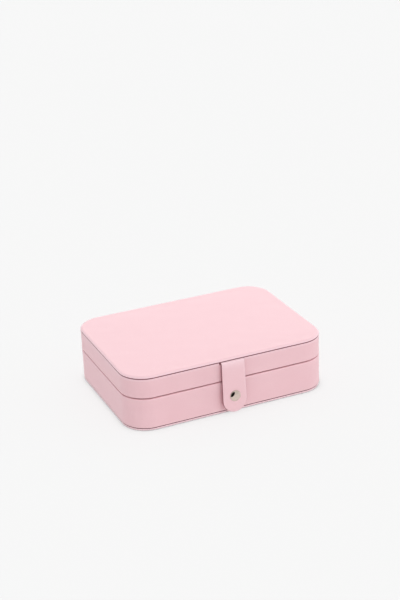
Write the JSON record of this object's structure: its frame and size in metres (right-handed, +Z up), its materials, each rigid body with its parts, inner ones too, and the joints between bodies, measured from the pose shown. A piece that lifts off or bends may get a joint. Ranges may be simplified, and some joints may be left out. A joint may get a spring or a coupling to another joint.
{
  "type": "travel jewelry case",
  "caption": "Small leather-covered jewelry case with a hinged lid, a snap tab at the front, velvet compartments, ring rolls, necklace hooks and a lid pocket.",
  "frame": {"origin": "centre of the face that the case rests on", "axes": "+X along the case's long side, -Y to the front with the tab, +Y to the hinges, +Z up"},
  "size_m": [0.2106, 0.1666, 0.057],
  "materials": {
    "pink_leather": "smooth fine-grained coated leather cloth, satin, pale pink",
    "grey_board": "pressed grey board, unseen inside the leather",
    "velvet": "short-pile velvet on thin card, dusty pink",
    "roll_velvet": "foam roll in short-pile velvet, dusty pink",
    "foam": "thin sheet foam, unseen under the leather",
    "elastic_satin": "satin pocket cloth with a gathered elastic hem",
    "nickel_plate": "polished nickel plate on steel"
  },
  "bodies": {
    "base": {"base_wall_board": "grey_board", "base_wall_leather": "pink_leather", "base_floor_board": "grey_board", "bottom_panel_board": "grey_board", "bottom_panel_leather": "pink_leather", "base_lining": "velvet", "long_divider": "velvet", "ring_bay_wall_left": "velvet", "ring_bay_wall_right": "velvet", "lift_out_divider_rear_left": "velvet", "lift_out_divider_rear_right": "velvet", "lift_out_divider_side": "velvet", "base_hinge_screws": "nickel_plate", "snap_stud": "nickel_plate", "snap_stud_rivet": "nickel_plate", "hinge_base_leaf_left": "nickel_plate", "hinge_base_leaf_right": "nickel_plate", "hinge_pin_left": "nickel_plate", "hinge_pin_right": "nickel_plate", "ring_roll_1": "roll_velvet", "ring_roll_2": "roll_velvet", "ring_roll_3": "roll_velvet", "ring_roll_4": "roll_velvet", "ring_roll_5": "roll_velvet", "ring_roll_6": "roll_velvet"},
    "lid": {"lid_wall_board": "grey_board", "lid_wall_leather": "pink_leather", "lid_ceiling_board": "grey_board", "top_panel_board": "grey_board", "top_panel_foam": "foam", "top_panel_leather": "pink_leather", "lid_lining": "velvet", "necklace_hook_bar": "pink_leather", "pocket_cloth": "elastic_satin", "pocket_elastic_hem": "elastic_satin", "lid_hinge_screws": "nickel_plate", "tab_root": "pink_leather", "hinge_lid_leaf_left": "nickel_plate", "hinge_lid_leaf_right": "nickel_plate", "necklace_hook_1": "nickel_plate", "necklace_hook_2": "nickel_plate", "necklace_hook_3": "nickel_plate", "necklace_hook_4": "nickel_plate", "necklace_hook_5": "nickel_plate", "necklace_hook_6": "nickel_plate"},
    "tab": {"tab_face": "pink_leather", "tab_backing": "pink_leather", "snap_cap": "nickel_plate", "snap_socket": "nickel_plate"}
  },
  "joints": [
    {"name": "lid_hinge", "type": "hinge", "parent": "base", "child": "lid", "pos_m": [0, 0.0797, 0.034], "axis": [-1, 0, 0], "range_deg": [0, 105]},
    {"name": "tab_fold", "type": "hinge", "parent": "lid", "child": "tab", "pos_m": [0, -0.0791, 0.053], "axis": [-1, 0, 0], "range_deg": [0, 140]}
  ]
}
